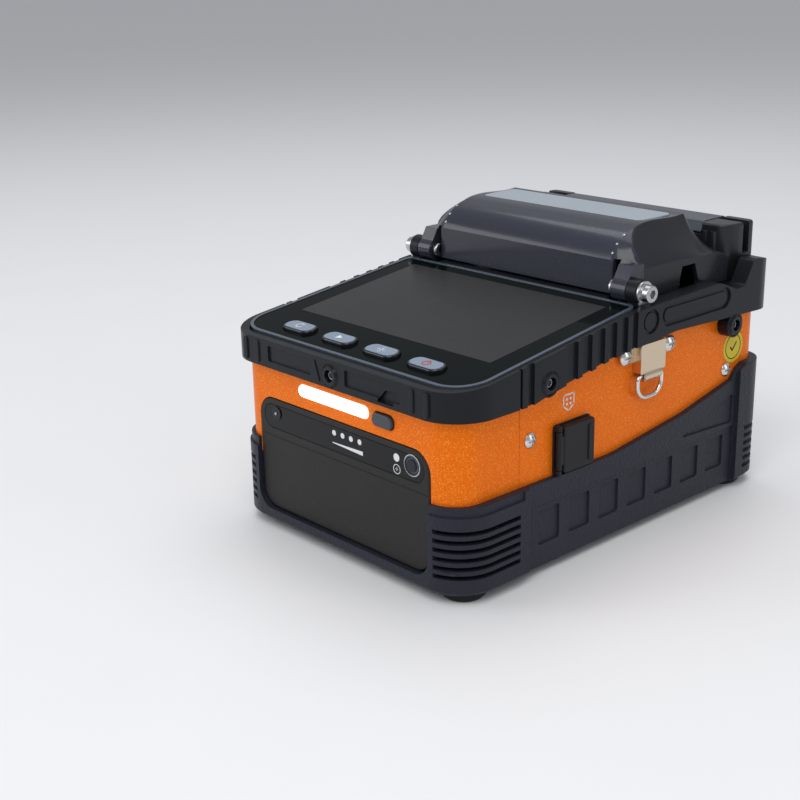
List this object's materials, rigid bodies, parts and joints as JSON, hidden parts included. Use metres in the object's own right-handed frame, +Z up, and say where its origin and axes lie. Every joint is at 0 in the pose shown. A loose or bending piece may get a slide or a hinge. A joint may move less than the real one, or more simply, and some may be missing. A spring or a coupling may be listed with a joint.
{
  "type": "fiber fusion splicer",
  "caption": "Handheld optical fibre fusion splicer: rugged case with sloping colour screen, push keys, hinged windshield over the fibre stage, sleeve heater and slide-in battery.",
  "frame": {"origin": "middle of the object's footprint, at the bottom of the feet", "axes": "+X to the right side as seen from the front, +Y to the rear, +Z up"},
  "size_m": [0.1456, 0.2056, 0.1298],
  "materials": {
    "orange_paint": "satin",
    "base_plastic": "coarse grain",
    "bumper_rubber": "satin",
    "post_plastic": "satin",
    "trim_plastic": "satin",
    "screen_glass": "gloss black",
    "display": "matt glass",
    "key_plastic": "satin top, gloss sides",
    "lamp_lens": "diffusing",
    "circuit_board": "solder mask",
    "switch_plastic": "gloss",
    "port_rubber": "satin",
    "lug_steel": "pressed",
    "chrome": "polished",
    "screw_steel": "turned",
    "battery_plastic": "fine grain",
    "cell_wrap": "shrink wrap",
    "deck_plastic": "satin",
    "shield_plastic": "satin",
    "cheek_plastic": "satin",
    "shield_plate": "anodised",
    "white_ceramic": "ground",
    "machined_aluminium": "machined",
    "electrode_metal": "ground",
    "black_anodised": "anodised",
    "heater_plate": "satin",
    "brass": "machined"
  },
  "bodies": {
    "housing": {"front_panel": "orange_paint", "side_panel_right": "orange_paint", "side_panel_left": "orange_paint", "rear_panel": "orange_paint", "base_bumper": "base_plastic", "top_bumper": "bumper_rubber", "foot_pads": "bumper_rubber", "bumper_posts": "post_plastic", "screen_trim": "trim_plastic", "screen_glass": "screen_glass", "lcd_module": "display", "lamp_lens": "lamp_lens", "key_board": "circuit_board", "lamp_board": "circuit_board", "main_board": "circuit_board", "arc_board": "circuit_board", "port_connectors": "circuit_board", "switch_housing": "switch_plastic", "port_bezel": "port_rubber", "strap_lugs": "lug_steel", "panel_screws": "chrome", "hinge_screws": "screw_steel", "lead_screws": "screw_steel", "battery_bay": "battery_plastic", "deck_plate": "deck_plastic", "hinge_brackets": "deck_plastic", "v_grooves": "white_ceramic", "stage_block": "machined_aluminium", "electrode_clamps": "machined_aluminium", "heater_channel": "machined_aluminium", "electrodes": "electrode_metal", "objectives": "black_anodised", "camera_modules": "black_anodised", "stage_motors": "black_anodised", "heater_body": "black_anodised", "tripod_insert": "brass"},
    "windshield": {"windshield_shell": "shield_plastic", "windshield_cheek_right": "cheek_plastic", "windshield_cheek_left": "cheek_plastic", "windshield_plate": "shield_plate", "presser_guides": "cheek_plastic"},
    "fibre_presser_right": {"presser_right": "white_ceramic"},
    "fibre_presser_left": {"presser_left": "white_ceramic"},
    "heater_cover": {"heater_lid": "heater_plate"},
    "feed_right": {"holder_right": "machined_aluminium"},
    "feed_left": {"holder_left": "machined_aluminium"},
    "sheath_lid_right": {"holder_lid_right": "black_anodised"},
    "sheath_lid_left": {"holder_lid_left": "black_anodised"},
    "return_key": {"key_return": "key_plastic"},
    "run_key": {"key_run": "key_plastic"},
    "menu_key": {"key_menu": "key_plastic"},
    "power_key": {"key_power": "key_plastic"},
    "lamp_switch": {"light_switch": "switch_plastic"},
    "battery": {"battery_case": "battery_plastic", "battery_cells": "cell_wrap", "battery_board": "circuit_board"},
    "battery_button": {"battery_release": "switch_plastic"},
    "port_flap": {"port_cover": "port_rubber"},
    "ring_right": {"strap_ring_right": "chrome"},
    "ring_left": {"strap_ring_left": "chrome"}
  },
  "joints": [
    {"name": "windshield_hinge", "type": "hinge", "parent": "housing", "child": "windshield", "pos_m": [0, 0.01, 0.106], "axis": [1, 0, 0], "range_deg": [0, 95]},
    {"name": "presser_spring_right", "type": "slide", "parent": "windshield", "child": "fibre_presser_right", "axis": [0, 0, 1], "range_m": [0, 0.0015], "stiffness_N_per_m": 150, "springref_m": -0.001},
    {"name": "presser_spring_left", "type": "slide", "parent": "windshield", "child": "fibre_presser_left", "axis": [0, 0, 1], "range_m": [0, 0.0015], "stiffness_N_per_m": 150, "springref_m": -0.001},
    {"name": "heater_lid_hinge", "type": "hinge", "parent": "housing", "child": "heater_cover", "pos_m": [0, 0.098, 0.1186], "axis": [-1, 0, 0], "range_deg": [0, 100]},
    {"name": "fibre_feed_right", "type": "slide", "parent": "housing", "child": "feed_right", "axis": [1, 0, 0], "range_m": [-0.002, 0.002]},
    {"name": "fibre_feed_left", "type": "slide", "parent": "housing", "child": "feed_left", "axis": [-1, 0, 0], "range_m": [-0.002, 0.002]},
    {"name": "sheath_lid_hinge_right", "type": "hinge", "parent": "feed_right", "child": "sheath_lid_right", "pos_m": [0.038, 0.057, 0.106], "axis": [-1, 0, 0], "range_deg": [0, 85]},
    {"name": "sheath_lid_hinge_left", "type": "hinge", "parent": "feed_left", "child": "sheath_lid_left", "pos_m": [-0.038, 0.057, 0.106], "axis": [-1, 0, 0], "range_deg": [0, 85]},
    {"name": "return_key_press", "type": "slide", "parent": "housing", "child": "return_key", "axis": [0, 0.1273, -0.9919], "range_m": [0, 0.0012], "stiffness_N_per_m": 400, "springref_m": -0.0006},
    {"name": "run_key_press", "type": "slide", "parent": "housing", "child": "run_key", "axis": [0, 0.1273, -0.9919], "range_m": [0, 0.0012], "stiffness_N_per_m": 400, "springref_m": -0.0006},
    {"name": "menu_key_press", "type": "slide", "parent": "housing", "child": "menu_key", "axis": [0, 0.1273, -0.9919], "range_m": [0, 0.0012], "stiffness_N_per_m": 400, "springref_m": -0.0006},
    {"name": "power_key_press", "type": "slide", "parent": "housing", "child": "power_key", "axis": [0, 0.1273, -0.9919], "range_m": [0, 0.0012], "stiffness_N_per_m": 400, "springref_m": -0.0006},
    {"name": "lamp_switch_press", "type": "slide", "parent": "housing", "child": "lamp_switch", "axis": [0, 1, 0], "range_m": [0, 0.0008], "stiffness_N_per_m": 600, "springref_m": -0.0005},
    {"name": "battery_slide", "type": "slide", "parent": "housing", "child": "battery", "axis": [0, -1, 0], "range_m": [0, 0.08]},
    {"name": "battery_button_press", "type": "slide", "parent": "battery", "child": "battery_button", "axis": [0, 1, 0], "range_m": [0, 0.0015], "stiffness_N_per_m": 300, "springref_m": -0.0006},
    {"name": "port_flap_hinge", "type": "hinge", "parent": "housing", "child": "port_flap", "pos_m": [0.0689, -0.0423, 0.0511], "axis": [0, 0, -1], "range_deg": [0, 110]},
    {"name": "ring_swing_right", "type": "hinge", "parent": "housing", "child": "ring_right", "pos_m": [0.0693, 0.014, 0.0708], "axis": [0, -1, 0], "range_deg": [0, 90]},
    {"name": "ring_swing_left", "type": "hinge", "parent": "housing", "child": "ring_left", "pos_m": [-0.0693, 0.014, 0.0708], "axis": [0, 1, 0], "range_deg": [0, 90]}
  ]
}
